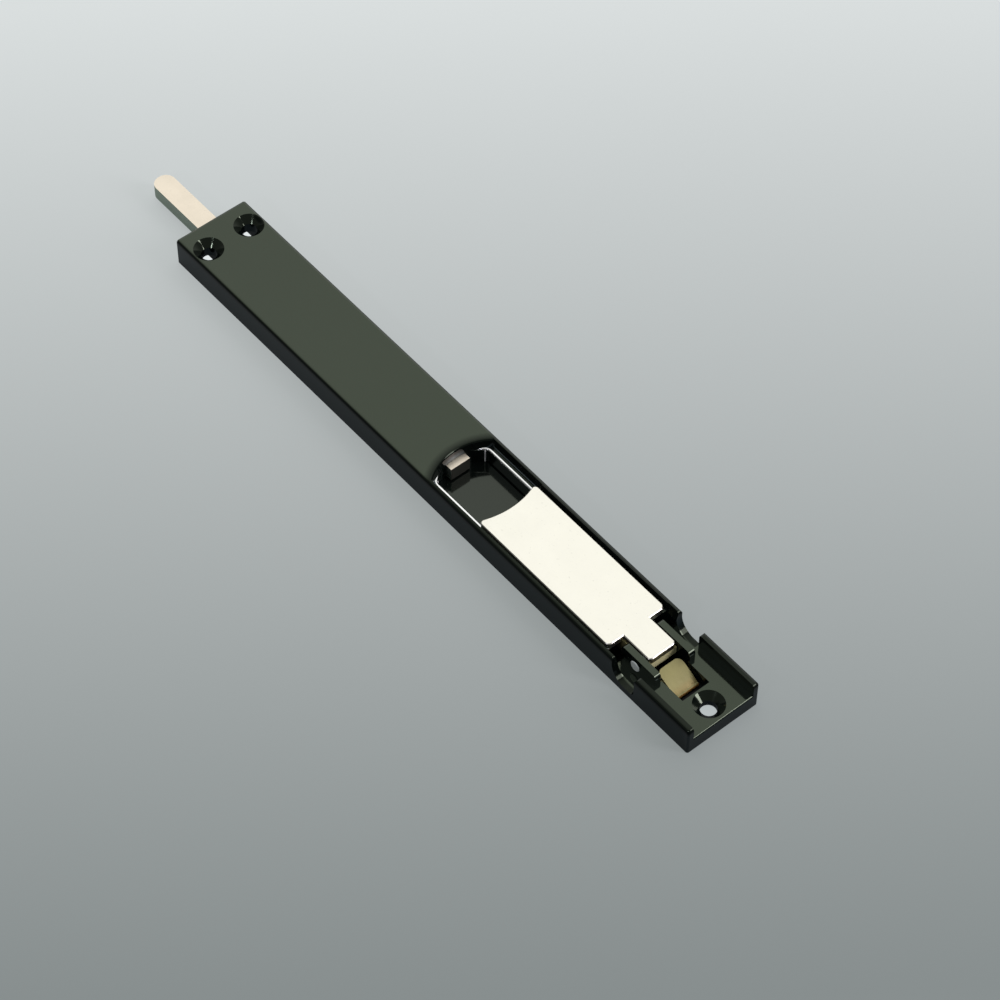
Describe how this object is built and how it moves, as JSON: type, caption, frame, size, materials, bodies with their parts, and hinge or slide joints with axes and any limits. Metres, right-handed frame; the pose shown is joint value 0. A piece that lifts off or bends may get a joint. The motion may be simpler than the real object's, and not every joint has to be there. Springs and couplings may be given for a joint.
{
  "type": "lever action flush bolt",
  "caption": "Long flat bolt case with a flush lever in its recess that slides a round-ended bar out of the far end.",
  "frame": {"origin": "centre of the bounding box at the back face, with the bolt thrown", "axes": "+X towards the bolt's tip, +Z out of the cover, +Y across the case"},
  "size_m": [0.2188, 0.022, 0.0084],
  "materials": {
    "black_gloss": "gloss",
    "nickel": "satin",
    "brass": "satin",
    "black_steel": "gloss",
    "zinc_steel": "satin"
  },
  "bodies": {
    "housing": {"body": "black_gloss", "back_plate": "zinc_steel", "detent_leaf": "brass", "leaf_rivet": "brass", "pivot_pin": "nickel", "plate_rivet_1": "zinc_steel", "plate_rivet_2": "zinc_steel", "plate_rivet_3": "zinc_steel", "plate_rivet_4": "zinc_steel", "plate_rivet_5": "zinc_steel", "plate_rivet_6": "zinc_steel"},
    "lever": {"lever_plate": "nickel", "lever_block": "brass", "block_rivet_1": "zinc_steel", "block_rivet_2": "zinc_steel", "block_rivet_3": "zinc_steel", "block_rivet_4": "zinc_steel"},
    "bolt_slide": {"bolt": "nickel", "drive_bar": "black_steel", "drive_pin": "zinc_steel", "bolt_rivet_1": "zinc_steel", "bolt_rivet_2": "zinc_steel"},
    "link": {"link": "zinc_steel", "link_pin": "zinc_steel"}
  },
  "joints": [
    {"name": "lever_swing", "type": "hinge", "parent": "housing", "child": "lever", "pos_m": [-0.08555, 0, 0.0044], "axis": [0, -1, 0], "range_deg": [0, 90]},
    {"name": "bolt_throw", "type": "slide", "parent": "housing", "child": "bolt_slide", "axis": [-1, 0, 0], "range_m": [0, 0.0223]},
    {"name": "link_swing", "type": "hinge", "parent": "bolt_slide", "child": "link", "pos_m": [-0.05708, 0, 0.0021], "axis": [0, 1, 0], "range_deg": [0, 58.5]}
  ],
  "couplings": [
    {"joint": "bolt_throw", "follows": "lever_swing", "m_per_rad": 0.014197},
    {"joint": "link_swing", "follows": "lever_swing", "ratio": 0.65}
  ]
}
